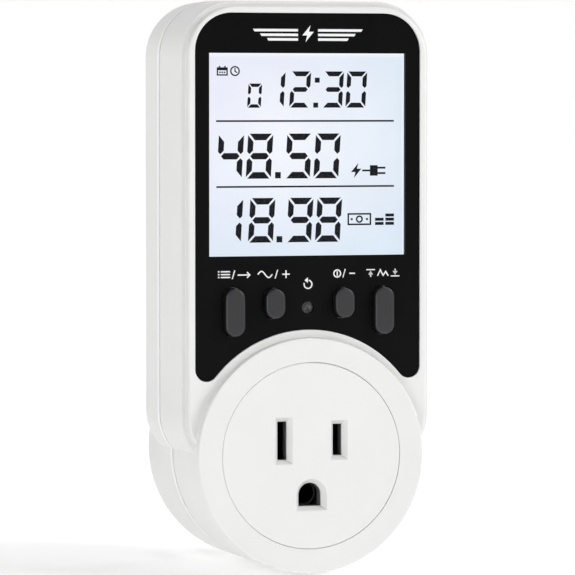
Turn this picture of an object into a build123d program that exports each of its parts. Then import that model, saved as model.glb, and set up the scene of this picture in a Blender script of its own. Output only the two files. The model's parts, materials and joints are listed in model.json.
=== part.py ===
from build123d import *
import os
from math import cos, radians, sin, sqrt

# Plug-in power meter: a wall plug with its own outlet, a lit LCD and four keys.
# Millimetres. The origin is the centre of the plug face that meets the wall:
# +X is the user's right, +Y runs into the wall, +Z is up.

os.makedirs("parts", exist_ok=True)

# ---------------------------------------------------------------- depths along Y
BLADE_TIP_Y = 17.5          # blades, measured into the wall outlet
GROUND_TIP_Y = 21.0
BACK_Y = -1.5               # back of the wide body; the round plug boss stands 1.5 proud
PLUG_WALL_IN_Y = -3.0       # inside of the wall that carries the blades
BACK_WALL_IN_Y = -3.7
SEAM_Y = -20.4
WALL_IN_Y = -34.9           # inside of the front wall
SHOULDER_Y = -35.7          # step that runs round the front platform
POCKET_Y = -36.4            # floor of the recess for the black panel
PANEL_Y = -37.4             # front of the black panel
PLATFORM_Y = -37.83
KEY_FACE_Y = -39.6
COLLAR_Y = -40.0            # front of the round outlet housing

# ---------------------------------------------------------------- body outline
BODY_HALF_W = 28.85
BODY_TOP_Z = 99.55
BODY_BOTTOM_Z = -3.6
BODY_CORNER_R = 12.4
COLLAR_R = 25.86
WALL = 2.2
DRAFT = 1.1                 # degrees, both ways from the seam
PLATFORM_INSET = 1.5
SHOULDER_FILLET = 0.35
PLATFORM_FILLET = 0.5
COLLAR_FILLET = 0.4
BACK_FILLET = 8.6
BACK_FILLET_IN = 6.6
PLUG_FILLET = 1.4
LABEL_RECESS = (36.0, 30.0, 2.0)    # width, height and corner radius of the step on the back
LABEL_Z = 62.0
LABEL_DEPTH = 0.3
SEAM_HALF_W = 0.42          # groove along the seam, each side of it
SEAM_DEPTH = 0.45
LIP_DEPTH = 2.0             # tongue of the rear shell inside the front shell
LIP_GAP = 0.1
LIP_OUTER = 1.2             # inset of the tongue's outer face

# The skirt is a cove that widens from nothing at the top of the collar to a
# larger circle at the platform.
SKIRT_R = 30.45
SKIRT_STEPS = (0.0, 0.35, 0.65, 0.87, 1.0)
SKIRT_TUCK = 0.12

# ---------------------------------------------------------------- black panel, window and display
PANEL_HALF_W = 25.83
PANEL_TOP_Z = 96.57
PANEL_CORNER_R = 8.3
PANEL_ARC_R = 27.5          # lower edge, concentric with the outlet
PANEL_TIP_R = 2.6
PANEL_GAP = 0.06
WINDOW_HALF_W = 22.54
WINDOW_LOW_Z = 43.67
WINDOW_TOP_Z = 87.86
WINDOW_GAP = 0.04

# half width, lowest Z and highest Z of each rectangle behind the window
DISPLAY_OPENING = (24.6, 41.6, 89.9)
FRONT_GLASS = (24.3, 41.9, 89.6)
REAR_GLASS = (24.3, 43.4, 89.6)
FRAME_OUTER = (25.0, 41.0, 90.4)
FRAME_OPENING = (23.7, 43.9, 89.6)
STRIP_POCKET = (23.2, 41.8, 43.4)
STRIP = (23.1, 41.95, 43.35)
GUIDE = (23.6, 44.0, 87.9)
GLASS_Y = (-36.3, -35.6, -34.9)     # front, joint and back of the two sheets
FRAME_Y = -34.85
GUIDE_Y = (-34.8, -31.6)
REFLECTOR_Y = (-31.55, -31.3)
LED_X = 12.0
LED_HALF_W = 1.6
LED_Y = -33.6
LED_Z = (88.0, 89.4)

# ---------------------------------------------------------------- keys
KEY_W = 4.4
KEYS = {                    # centre x, centre z, height
    "select": (-17.15, 31.5, 10.4),
    "plus": (-7.98, 33.3, 6.5),
    "minus": (7.98, 33.3, 6.5),
    "record": (17.15, 31.5, 10.4),
}
KEY_CROWN = 0.45
KEY_GUIDE_GAP = 0.1
KEY_PANEL_GAP = 0.22
FLANGE_Y = WALL_IN_Y + 0.05         # flange of every key, clear of the front wall
FLANGE_GROW = 2.0
FLANGE_T = 0.8
STEM_SHRINK = 1.0
STEM_LOW_Y = -33.0
PILL_LOW_Y = -32.05
MAT = (20.2, 24.0, 38.4)
MAT_Y = -32.2
MAT_COLLAR_Y = -32.9
MAT_STEM_GAP = -0.4
RESET_X, RESET_Z = 0.0, 32.3
RESET_HOLE_R = 1.35
RESET_R = 1.2
RESET_FACE_Y = -36.75
RESET_DIMPLE_R = 1.2
RESET_DIMPLE_RISE = 0.75
RESET_FLANGE_R = 2.1
RESET_STEM_R = 0.9
SWITCH_HALF_W = 2.6
SWITCH_Y = -32.5
SWITCH_WELL_R = 1.25
SWITCH_WELL_Y = -31.5
ACTUATOR_R = 1.2
ACTUATOR_Y = (-32.85, -31.95)

# ---------------------------------------------------------------- boards
BOARD_T = 1.6
DISPLAY_BOARD_Y = -31.0     # front face
POWER_BOARD_Y = -9.0        # front face
DISPLAY_BOARD = (25.2, 22.0, 90.5)
DISPLAY_TAB = (9.5, 89.5, 96.2)
POWER_BOARD = (24.5, 32.0, 89.0)
DISPLAY_SCREWS = ((-22.9, 28.0), (22.9, 28.0), (-6.0, 93.4), (6.0, 93.4))
POWER_SCREWS = ((-21.5, 36.0), (21.5, 36.0), (-21.5, 85.0), (21.5, 85.0))
BOARD_SCREW_HOLE_R = 1.15
PILOT_R = 1.05              # thread hole in the board bosses
DISPLAY_BOSS_R = 2.2
POWER_BOSS_R = 2.6
HEADER_Z = 39.75
HEADER_PITCH = 2.54
HEADER_PINS = 8
HEADER_HALF_H = 1.25
HEADER_SOCKET_Y = -20.9     # mating faces of the socket and the pin base
HEADER_BASE_Y = -11.5
PIN_R = 0.32
PIN_HOLE_R = 0.4
PIN_GAP = 0.04
PIN_Y = (-31.6, -6.6)

# ---------------------------------------------------------------- board components
BATTERY_X, BATTERY_Y, BATTERY_Z = -11.5, -15.2, 76.0
CELL_R = 5.8
CELL_T = 5.6
CELL_PITCH = 5.8
CLIP_STRIP_T = 0.4
CLIP_STRIP_W = 20.2
CLIP_LEG_X = 9.0            # each leg's inner face from the stack's middle
CLIP_LEG_Y = -15.5
CLIP_Z = (72.0, 80.0)
ELECTROLYTIC_X, ELECTROLYTIC_Z = -16.0, 60.5
ELECTROLYTIC_R = 4.0
ELECTROLYTIC_Y = -21.0
CRIMP_Y = (-12.0, -11.2)
CRIMP_R = 3.7
VARISTOR_X, VARISTOR_Y, VARISTOR_Z = 15.5, -15.6, 60.0
VARISTOR_R = 5.0
VARISTOR_T = 3.6
VARISTOR_LEG_X = 2.5
FUSE_X, FUSE_Y, FUSE_Z = -12.0, -12.2, 48.5
FUSE_R = 2.3
FUSE_LENGTH = 12.0
FUSE_CAP_R = 2.6
FUSE_CAP_T = 2.4
FUSE_CAP_X = 6.4
DIODE_COUNT = 4
DIODE_X, DIODE_Y, DIODE_Z = 3.0, -10.5, 48.5
DIODE_PITCH = 4.0
DIODE_R = 1.3
DIODE_LENGTH = 5.0
LEG_R = 0.4
DIODE_LEG_R = 0.35

# ---------------------------------------------------------------- outlet and plug, 5-15 pattern
SLOT_X = 6.35
SLOT_Z = 3.33
GROUND_Z = -8.57            # 11.9 below the slots
NEUTRAL_SLOT = (2.1, 8.4)
LINE_SLOT = (2.0, 6.85)
GROUND_HOLE_R = 2.55
MOUTH_GROW = 0.95
MOUTH_DEPTH = 1.5
INSERT_R = 20.45
INSERT_GAP = 0.05
INSERT_FLANGE_R = 22.6
INSERT_BACK_Y = -35.8
INSERT_EDGE = 0.3
COLLAR_WALL_IN_Y = -37.6
BLADE_T = 1.5
BLADE_GAP = 0.1             # blade to its hole in the plug wall, both sides together
NEUTRAL_BLADE_H = 7.9
LINE_BLADE_H = 6.35
BLADE_CHAMFER = 0.45
BLADE_HOLE_Y = 12.0
BLADE_HOLE_R = 1.6
WING_Y = -4.2               # wings that stop a blade from pulling out
WING_HALF_H = 5.4
GROUND_PIN_R = 2.375
PIN_ROOT_R = 2.9            # thicker root of the ground pin, inside the plug's wall
PIN_ROOT_GAP = 0.05
PIN_TIP_FILLET = 1.6
PIN_FLANGE_R = 3.4
EYELET_Y = (-5.0, -4.4)
PEEN_Y = -5.7
PEEN_R = 2.1
EYELET_SHANK_R = 1.5
GROUND_TUBE_R = 2.45        # bore that grips a ground pin
GROUND_TUBE_T = 0.5
GROUND_TUBE_Y = (-33.6, -20.0)
STRAP_Z = (GROUND_Z - 3.3, GROUND_Z - 2.75)
STRAP_Y = -24.0

CARRIER_R = 19.0
CARRIER_Y = (-35.6, -14.0)
CARRIER_SCREWS = ((-15.0, -2.0), (15.0, -2.0))
CARRIER_SEAT_Y = -18.0
CLIP_POCKET_W = 5.2
CLIP_POCKET_Y = -17.9
NEUTRAL_POCKET_H = 11.0
LINE_POCKET_H = 9.6
GROUND_POCKET_R = 3.7
GROUND_POCKET_Y = -19.5
CLIP_T = 0.5
TAIL_H = 5.0
TAIL_GAP = 0.4
NEUTRAL_CLIP_H = 8.0
LINE_CLIP_H = 6.6
NEUTRAL_TAIL_Y = -6.0
LINE_TAIL_Y = -10.5

# ---------------------------------------------------------------- current path, riveted
NEUTRAL_RIVET_Y = -9.0
TAIL_RIVET_Y = -12.2
BLADE_RIVET_Y = -5.9
NEUTRAL_RIVET_R = 1.1
LINE_RIVET_R = 0.9
RIVET_GAP = 0.05
RIVET_HEAD_T = 0.5
RIVET_HEAD_GROW = 0.5
SHUNT_T = 0.4
SHUNT_H = 4.4
SHUNT_ARCH = 3.6

# ---------------------------------------------------------------- case screws
CASE_TOP_SCREWS = ((-16.0, 94.0), (16.0, 94.0))
CASE_LOW_R = 21.9
CASE_LOW_ANGLE = 40
CASE_LOW_SCREWS = tuple(
    (side * CASE_LOW_R * cos(radians(CASE_LOW_ANGLE)), -CASE_LOW_R * sin(radians(CASE_LOW_ANGLE)))
    for side in (-1, 1)
)
CASE_SCREWS = CASE_TOP_SCREWS + CASE_LOW_SCREWS
CASE_SCREW_SEAT_Y = -14.0
CASE_SCREW_END_Y = -30.0
CASE_TOP_BOSS_R = 2.6
CASE_LOW_BOSS_R = 2.2
CASE_PILOT_R = 1.3
REAR_BOSS_R = 4.0
REAR_BOSS_INSET = 0.8
SCREW_WELL_R = 2.75
SCREW_CLEAR_R = 1.45
BOSS_SOCKET_R = 4.1


# ================================================================ helpers
def front_plane(y):
    """Drawing plane at depth y facing the user: local x is X and local y is Z."""
    return Plane(origin=(0, y, 0), x_dir=(1, 0, 0), z_dir=(0, -1, 0))


def back_plane(y):
    """Drawing plane at depth y facing the wall: local x is -X and local y is Z."""
    return Plane(origin=(0, y, 0), x_dir=(-1, 0, 0), z_dir=(0, 1, 0))


def slab(sketch, y_front, y_back):
    """Solid of a front-view sketch between two depths."""
    return extrude(front_plane(y_back) * sketch, amount=y_back - y_front)


def disc(x, z, r, y_front, y_back):
    return slab(Pos(x, z) * Circle(r), y_front, y_back)


def block(x_low, x_high, y_low, y_high, z_low, z_high):
    size = (x_high - x_low, y_high - y_low, z_high - z_low)
    centre = ((x_low + x_high) / 2, (y_low + y_high) / 2, (z_low + z_high) / 2)
    return Pos(*centre) * Box(*size)


def frame_rect(half_w, z_low, z_high):
    return Pos(0, (z_low + z_high) / 2) * Rectangle(2 * half_w, z_high - z_low)


def axial_body(x_centre, y, z, radius, length):
    """Cylinder lying along X."""
    return Pos(x_centre, y, z) * Rot(0, 90, 0) * Cylinder(radius, length)


def stadium(x, z, width, height):
    return Pos(x, z) * SlotOverall(height, width, rotation=90)


def front_edges(solid):
    return solid.faces().sort_by(Axis.Y)[0].edges()


def back_edges(solid):
    return solid.faces().sort_by(Axis.Y)[-1].edges()


def group(solids):
    """Several separate solids kept as one node."""
    return Compound(children=list(solids))


def save(name, shape):
    export_step(shape, os.path.join("parts", name + ".step"))


# ================================================================ outlines
def body_outline(inset=0.0):
    width = 2 * (BODY_HALF_W - inset)
    height = BODY_TOP_Z - BODY_BOTTOM_Z - 2 * inset
    centre_z = (BODY_TOP_Z + BODY_BOTTOM_Z) / 2
    return Pos(0, centre_z) * RectangleRounded(width, height, BODY_CORNER_R - inset)


def full_outline(inset=0.0):
    """Wide body and round outlet housing together, seen from the front."""
    return body_outline(inset) + Circle(COLLAR_R - inset)


def panel_outline(inset=0.0):
    """Black panel: large upper corners and a concave lower edge between two round tips."""
    half_w = PANEL_HALF_W - inset
    top_z = PANEL_TOP_Z - inset
    corner = PANEL_CORNER_R - inset
    arc_r = PANEL_ARC_R + inset
    tip = PANEL_TIP_R - inset
    tip_x = half_w - tip
    tip_z = sqrt((arc_r + tip) ** 2 - tip_x**2)
    touch = arc_r / (arc_r + tip)
    touch_x = tip_x * touch
    touch_z = tip_z * touch
    drop = tip * sin(radians(45))
    chord = corner * (1 - cos(radians(45)))
    corner_x = half_w - chord
    corner_z = top_z - chord
    with BuildSketch() as sketch:
        with BuildLine():
            ThreePointArc((-half_w, top_z - corner), (-corner_x, corner_z), (-half_w + corner, top_z))
            Line((-half_w + corner, top_z), (half_w - corner, top_z))
            ThreePointArc((half_w - corner, top_z), (corner_x, corner_z), (half_w, top_z - corner))
            Line((half_w, top_z - corner), (half_w, tip_z))
            ThreePointArc((half_w, tip_z), (tip_x + drop, tip_z - drop), (touch_x, touch_z))
            ThreePointArc((touch_x, touch_z), (0, arc_r), (-touch_x, touch_z))
            ThreePointArc((-touch_x, touch_z), (-tip_x - drop, tip_z - drop), (-half_w, tip_z))
            Line((-half_w, tip_z), (-half_w, top_z - corner))
        make_face()
    return sketch.sketch


def ground_hole(half_w):
    """Round above, flat below."""
    top = Pos(0, GROUND_Z) * Circle(half_w)
    base = Pos(0, GROUND_Z - half_w / 2) * Rectangle(2 * half_w, half_w)
    return top + base


def key_shape(name, grow=0.0):
    x, z, height = KEYS[name]
    return stadium(x, z, KEY_W + grow, height + grow)


# ================================================================ casing
def seam_groove(y_front, y_back):
    beyond = full_outline(-1.0)
    return slab(beyond, y_front, y_back) - slab(full_outline(SEAM_DEPTH), y_front, y_back)


def skirt():
    """Cove between the collar's front rim and the platform, wider towards its sides."""
    rise = PLATFORM_Y - (COLLAR_Y + COLLAR_FILLET)
    sections = []
    for step in SKIRT_STEPS:
        spread = 1 - sqrt(1 - step**2)
        radius = COLLAR_R - SKIRT_TUCK + spread * (SKIRT_R - COLLAR_R)
        centre_z = -spread * (SKIRT_R - COLLAR_R)
        y = COLLAR_Y + COLLAR_FILLET + step * rise
        sections.append(front_plane(y) * (Pos(0, centre_z) * Circle(radius)))
    cove = loft(sections)
    return cove & slab(body_outline(PLATFORM_INSET), COLLAR_Y, PLATFORM_Y)


def make_front_shell():
    wide = extrude(front_plane(SEAM_Y) * body_outline(), amount=SEAM_Y - SHOULDER_Y, taper=DRAFT)
    wide = fillet(front_edges(wide), SHOULDER_FILLET)
    platform = slab(body_outline(PLATFORM_INSET), PLATFORM_Y, SHOULDER_Y)
    platform = fillet(front_edges(platform), PLATFORM_FILLET)
    collar = slab(Circle(COLLAR_R), COLLAR_Y, SEAM_Y)
    collar = fillet(front_edges(collar), COLLAR_FILLET)
    shell = wide + platform + collar + skirt()
    shell -= seam_groove(SEAM_Y - SEAM_HALF_W, SEAM_Y)

    shell -= slab(body_outline(WALL), WALL_IN_Y, SEAM_Y)
    shell -= slab(Circle(COLLAR_R - WALL), COLLAR_WALL_IN_Y, SEAM_Y)
    shell -= slab(full_outline(LIP_OUTER - LIP_GAP), SEAM_Y - LIP_DEPTH - LIP_GAP, SEAM_Y)
    shell -= slab(Circle(INSERT_R + INSERT_GAP), COLLAR_Y, COLLAR_WALL_IN_Y)
    shell -= slab(panel_outline(-PANEL_GAP), PLATFORM_Y, POCKET_Y)
    shell -= slab(frame_rect(*DISPLAY_OPENING), POCKET_Y, WALL_IN_Y)
    for name in KEYS:
        shell -= slab(key_shape(name, 2 * KEY_GUIDE_GAP), POCKET_Y, WALL_IN_Y)
    shell -= disc(RESET_X, RESET_Z, RESET_R + KEY_GUIDE_GAP, POCKET_Y, WALL_IN_Y)

    for x, z in DISPLAY_SCREWS:
        shell += disc(x, z, DISPLAY_BOSS_R, WALL_IN_Y, DISPLAY_BOARD_Y)
        shell -= disc(x, z, PILOT_R, WALL_IN_Y, DISPLAY_BOARD_Y)
    overlap = 0.2
    cavity = slab(full_outline(WALL - overlap), CARRIER_Y[0], SEAM_Y)
    for x, z in CASE_TOP_SCREWS:
        shell += disc(x, z, CASE_TOP_BOSS_R, WALL_IN_Y, SEAM_Y)
    for x, z in CASE_LOW_SCREWS:
        shell += disc(x, z, CASE_LOW_BOSS_R, CARRIER_Y[0], SEAM_Y) & cavity
    spare_depth = 0.5
    for x, z in CASE_SCREWS:
        shell -= disc(x, z, CASE_PILOT_R, CASE_SCREW_END_Y - spare_depth, SEAM_Y)
    return shell


def make_rear_shell():
    wide = extrude(back_plane(SEAM_Y) * body_outline(), amount=BACK_Y - SEAM_Y, taper=DRAFT)
    wide = fillet(back_edges(wide), BACK_FILLET)
    boss = slab(Circle(COLLAR_R), SEAM_Y, 0.0)
    boss = fillet(back_edges(boss), PLUG_FILLET)
    outside = wide + boss
    shell = outside - seam_groove(SEAM_Y, SEAM_Y + SEAM_HALF_W)
    shell -= slab(Pos(0, LABEL_Z) * RectangleRounded(*LABEL_RECESS), BACK_Y - LABEL_DEPTH, BACK_Y)

    hollow = slab(body_outline(WALL), SEAM_Y, BACK_WALL_IN_Y)
    hollow = fillet(back_edges(hollow), BACK_FILLET_IN)
    shell -= hollow
    shell -= slab(Circle(COLLAR_R - WALL), SEAM_Y, PLUG_WALL_IN_Y)
    lip = slab(full_outline(LIP_OUTER), SEAM_Y - LIP_DEPTH, SEAM_Y)
    shell += lip - slab(full_outline(WALL), SEAM_Y - LIP_DEPTH, SEAM_Y)

    boss_limit = outside & slab(full_outline(REAR_BOSS_INSET), SEAM_Y, BACK_WALL_IN_Y)
    for x, z in CASE_SCREWS:
        shell += disc(x, z, REAR_BOSS_R, SEAM_Y, BACK_WALL_IN_Y) & boss_limit
    for x, z in CASE_SCREWS:
        shell -= disc(x, z, SCREW_WELL_R, CASE_SCREW_SEAT_Y, 0.0)
        shell -= disc(x, z, SCREW_CLEAR_R, SEAM_Y, CASE_SCREW_SEAT_Y)
        shell -= disc(x, z, BOSS_SOCKET_R, SEAM_Y - LIP_DEPTH, SEAM_Y)
    for x, z in POWER_SCREWS:
        shell += disc(x, z, POWER_BOSS_R, POWER_BOARD_Y + BOARD_T, BACK_WALL_IN_Y)
        shell -= disc(x, z, PILOT_R, POWER_BOARD_Y + BOARD_T, BACK_WALL_IN_Y)
    for x, z in CARRIER_SCREWS:
        shell += disc(x, z, POWER_BOSS_R, CARRIER_Y[1], PLUG_WALL_IN_Y)
        shell -= disc(x, z, CASE_PILOT_R, CARRIER_Y[1], PLUG_WALL_IN_Y)

    for x, height in ((-SLOT_X, NEUTRAL_BLADE_H), (SLOT_X, LINE_BLADE_H)):
        hole = Pos(x, SLOT_Z) * Rectangle(BLADE_T + BLADE_GAP, height + BLADE_GAP)
        shell -= slab(hole, PLUG_WALL_IN_Y, 0.0)
    shell -= disc(0, GROUND_Z, PIN_ROOT_R + PIN_ROOT_GAP, PLUG_WALL_IN_Y, 0.0)
    return shell


# ================================================================ panel, window and display
def make_front_panel():
    panel = slab(panel_outline(), PANEL_Y, POCKET_Y)
    panel -= slab(frame_rect(WINDOW_HALF_W, WINDOW_LOW_Z, WINDOW_TOP_Z), PANEL_Y, POCKET_Y)
    for name in KEYS:
        panel -= slab(key_shape(name, 2 * KEY_PANEL_GAP), PANEL_Y, POCKET_Y)
    return panel - disc(RESET_X, RESET_Z, RESET_HOLE_R, PANEL_Y, POCKET_Y)


def make_display_window():
    half_w = WINDOW_HALF_W - WINDOW_GAP
    return slab(frame_rect(half_w, WINDOW_LOW_Z + WINDOW_GAP, WINDOW_TOP_Z - WINDOW_GAP), PANEL_Y, POCKET_Y)


def make_lcd_glass():
    """Two glass sheets; the front one reaches lower and carries the contacts."""
    y_front, y_joint, y_back = GLASS_Y
    return slab(frame_rect(*FRONT_GLASS), y_front, y_joint) + slab(frame_rect(*REAR_GLASS), y_joint, y_back)


def make_lcd_frame():
    """Holder that locates the glass, the light guide and the contact strip."""
    opening = frame_rect(*FRAME_OPENING) + frame_rect(*STRIP_POCKET)
    return slab(frame_rect(*FRAME_OUTER), FRAME_Y, DISPLAY_BOARD_Y) - slab(opening, FRAME_Y, DISPLAY_BOARD_Y)


def make_zebra_strip():
    return slab(frame_rect(*STRIP), GLASS_Y[1], DISPLAY_BOARD_Y)


def make_light_guide():
    return slab(frame_rect(*GUIDE), *GUIDE_Y)


def make_reflector():
    return slab(frame_rect(*GUIDE), *REFLECTOR_Y)


def make_backlight_leds():
    spots = (-LED_X, LED_X)
    return group(block(x - LED_HALF_W, x + LED_HALF_W, LED_Y, DISPLAY_BOARD_Y, *LED_Z) for x in spots)


# ================================================================ keys
def make_key(name):
    cap = slab(key_shape(name), KEY_FACE_Y, FLANGE_Y)
    cap = fillet(front_edges(cap), KEY_CROWN)
    flange = slab(key_shape(name, FLANGE_GROW), FLANGE_Y, FLANGE_Y + FLANGE_T)
    stem = slab(key_shape(name, -STEM_SHRINK), FLANGE_Y + FLANGE_T, STEM_LOW_Y)
    return cap + flange + stem


def make_pill(name):
    return slab(key_shape(name, -2 * STEM_SHRINK), STEM_LOW_Y, PILL_LOW_Y)


def make_keypad_mat():
    """Silicone sheet on the board, with a raised collar round each key stem."""
    mat = slab(frame_rect(*MAT), MAT_Y, DISPLAY_BOARD_Y)
    for name in KEYS:
        mat += slab(key_shape(name, FLANGE_GROW), MAT_COLLAR_Y, MAT_Y)
        mat -= slab(key_shape(name, MAT_STEM_GAP), MAT_COLLAR_Y, DISPLAY_BOARD_Y)
    half = SWITCH_HALF_W + 0.3
    return mat - block(-half, half, MAT_Y, DISPLAY_BOARD_Y, RESET_Z - half, RESET_Z + half)


def make_reset_key():
    tip = disc(RESET_X, RESET_Z, RESET_R, RESET_FACE_Y, FLANGE_Y)
    dimple = Pos(RESET_X, RESET_FACE_Y - RESET_DIMPLE_RISE, RESET_Z) * Sphere(RESET_DIMPLE_R)
    flange = disc(RESET_X, RESET_Z, RESET_FLANGE_R, FLANGE_Y, FLANGE_Y + FLANGE_T)
    stem = disc(RESET_X, RESET_Z, RESET_STEM_R, FLANGE_Y + FLANGE_T, ACTUATOR_Y[0])
    return (tip - dimple) + flange + stem


def make_reset_switch():
    half = SWITCH_HALF_W
    housing = block(-half, half, SWITCH_Y, DISPLAY_BOARD_Y, RESET_Z - half, RESET_Z + half)
    return housing - disc(RESET_X, RESET_Z, SWITCH_WELL_R, SWITCH_Y, SWITCH_WELL_Y)


def make_reset_actuator():
    return disc(RESET_X, RESET_Z, ACTUATOR_R, *ACTUATOR_Y)


# ================================================================ boards and what is on them
def header_positions():
    first = -HEADER_PITCH * (HEADER_PINS - 1) / 2
    return [first + HEADER_PITCH * i for i in range(HEADER_PINS)]


def board(outline, screws, y_front):
    for x, z in screws:
        outline -= Pos(x, z) * Circle(BOARD_SCREW_HOLE_R)
    for x in header_positions():
        outline -= Pos(x, HEADER_Z) * Circle(PIN_HOLE_R)
    return slab(outline, y_front, y_front + BOARD_T)


def make_display_board():
    return board(frame_rect(*DISPLAY_BOARD) + frame_rect(*DISPLAY_TAB), DISPLAY_SCREWS, DISPLAY_BOARD_Y)


def make_power_board():
    return board(frame_rect(*POWER_BOARD), POWER_SCREWS, POWER_BOARD_Y)


def header_block(y_front, y_back):
    half_w = HEADER_PITCH * HEADER_PINS / 2
    body = frame_rect(half_w, HEADER_Z - HEADER_HALF_H, HEADER_Z + HEADER_HALF_H)
    for x in header_positions():
        body -= Pos(x, HEADER_Z) * Circle(PIN_R + PIN_GAP)
    return slab(body, y_front, y_back)


def make_header_pins():
    return group(disc(x, HEADER_Z, PIN_R, *PIN_Y) for x in header_positions())


def chip(x, z, half_x, half_z, y_board, height, leads):
    """Moulded chip on a board's face, with leads down two sides; height is signed along Y."""
    lead_reach, lead_half_w, lead_t, stand_off = 1.2, 0.2, 0.5, 0.15
    step = height / abs(height)
    y_low, y_high = sorted((y_board + stand_off * step, y_board + height))
    solid = block(x - half_x, x + half_x, y_low, y_high, z - half_z, z + half_z)
    solid = chamfer(solid.edges().filter_by(Axis.Y), 0.25)
    lead_low, lead_high = sorted((y_board, y_board + lead_t * step))
    pitch = 2 * half_z / leads
    for i in range(leads):
        lead_z = z - half_z + pitch * (i + 0.5)
        for side in (-1, 1):
            x_low, x_high = sorted((x + side * half_x, x + side * (half_x + lead_reach)))
            solid += block(x_low, x_high, lead_low, lead_high, lead_z - lead_half_w, lead_z + lead_half_w)
    return solid


def make_crystal():
    length, width, height = 11.0, 4.4, 3.4
    y_board = DISPLAY_BOARD_Y + BOARD_T
    can = slab(Pos(-16.0, 66.0) * SlotOverall(length, width), y_board, y_board + height)
    return fillet(back_edges(can), 0.6)


def make_backup_battery():
    cells = []
    for i in (-1, 0, 1):
        cell = axial_body(BATTERY_X + CELL_PITCH * i, BATTERY_Y, BATTERY_Z, CELL_R, CELL_T)
        cells.append(fillet(cell.edges(), 0.5))
    return group(cells)


def make_battery_clip():
    """Bent strip that carries the cell stack on the board."""
    half_w = CLIP_STRIP_W / 2
    strip = block(
        BATTERY_X - half_w, BATTERY_X + half_w, POWER_BOARD_Y - CLIP_STRIP_T, POWER_BOARD_Y, *CLIP_Z
    )
    for side in (-1, 1):
        inner = BATTERY_X + side * CLIP_LEG_X
        x_low, x_high = sorted((inner, inner + side * CLIP_STRIP_T))
        strip += block(x_low, x_high, CLIP_LEG_Y, POWER_BOARD_Y, *CLIP_Z)
    return strip


def make_film_capacitor():
    case = block(4.0, 21.0, -21.5, POWER_BOARD_Y, 70.0, 78.0)
    return fillet(case.edges().filter_by(Axis.Y), 0.8)


def make_electrolytic_capacitor():
    can = disc(ELECTROLYTIC_X, ELECTROLYTIC_Z, ELECTROLYTIC_R, ELECTROLYTIC_Y, POWER_BOARD_Y)
    can = fillet(front_edges(can), 0.5)
    beyond = disc(ELECTROLYTIC_X, ELECTROLYTIC_Z, ELECTROLYTIC_R + 0.5, *CRIMP_Y)
    return can - (beyond - disc(ELECTROLYTIC_X, ELECTROLYTIC_Z, CRIMP_R, *CRIMP_Y))


def make_varistor():
    body = Pos(VARISTOR_X, VARISTOR_Y, VARISTOR_Z) * Cylinder(VARISTOR_R, VARISTOR_T)
    body = fillet(body.edges(), 0.9)
    for x in (VARISTOR_X - VARISTOR_LEG_X, VARISTOR_X + VARISTOR_LEG_X):
        body += disc(x, VARISTOR_Z, LEG_R, VARISTOR_Y + 0.6, POWER_BOARD_Y)
    return body


def make_fuse():
    glass = axial_body(FUSE_X, FUSE_Y, FUSE_Z, FUSE_R, FUSE_LENGTH)
    for x in (FUSE_X - FUSE_CAP_X, FUSE_X + FUSE_CAP_X):
        glass += axial_body(x, FUSE_Y, FUSE_Z, FUSE_CAP_R, FUSE_CAP_T)
        glass += disc(x, FUSE_Z, LEG_R, FUSE_Y + 0.2, POWER_BOARD_Y)
    return glass


def make_diodes():
    lead_length, lead_z, bend_z = 2.0, 3.0, 3.8
    bodies = []
    for i in range(DIODE_COUNT):
        x = DIODE_X + DIODE_PITCH * i
        body = Pos(x, DIODE_Y, DIODE_Z) * Cylinder(DIODE_R, DIODE_LENGTH)
        for side in (-1, 1):
            body += Pos(x, DIODE_Y, DIODE_Z + side * lead_z) * Cylinder(DIODE_LEG_R, lead_length)
            body += disc(x, DIODE_Z + side * bend_z, DIODE_LEG_R, DIODE_Y, POWER_BOARD_Y)
        bodies.append(body)
    return group(bodies)


# ================================================================ outlet
def mouth(inner, outer):
    return loft([front_plane(COLLAR_Y + MOUTH_DEPTH) * inner, front_plane(COLLAR_Y) * outer], ruled=True)


def slot_shape(x, size, grow=0.0):
    return Pos(x, SLOT_Z) * Rectangle(size[0] + 2 * grow, size[1] + 2 * grow)


def make_outlet_insert():
    face = slab(Circle(INSERT_R), COLLAR_Y, COLLAR_WALL_IN_Y)
    face = fillet(front_edges(face), INSERT_EDGE)
    insert = face + slab(Circle(INSERT_FLANGE_R), COLLAR_WALL_IN_Y, INSERT_BACK_Y)
    for x, size in ((-SLOT_X, NEUTRAL_SLOT), (SLOT_X, LINE_SLOT)):
        insert -= slab(slot_shape(x, size), COLLAR_Y, INSERT_BACK_Y)
        insert -= mouth(slot_shape(x, size), slot_shape(x, size, MOUTH_GROW))
    insert -= slab(ground_hole(GROUND_HOLE_R), COLLAR_Y, INSERT_BACK_Y)
    return insert - mouth(ground_hole(GROUND_HOLE_R), ground_hole(GROUND_HOLE_R + MOUTH_GROW))


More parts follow.
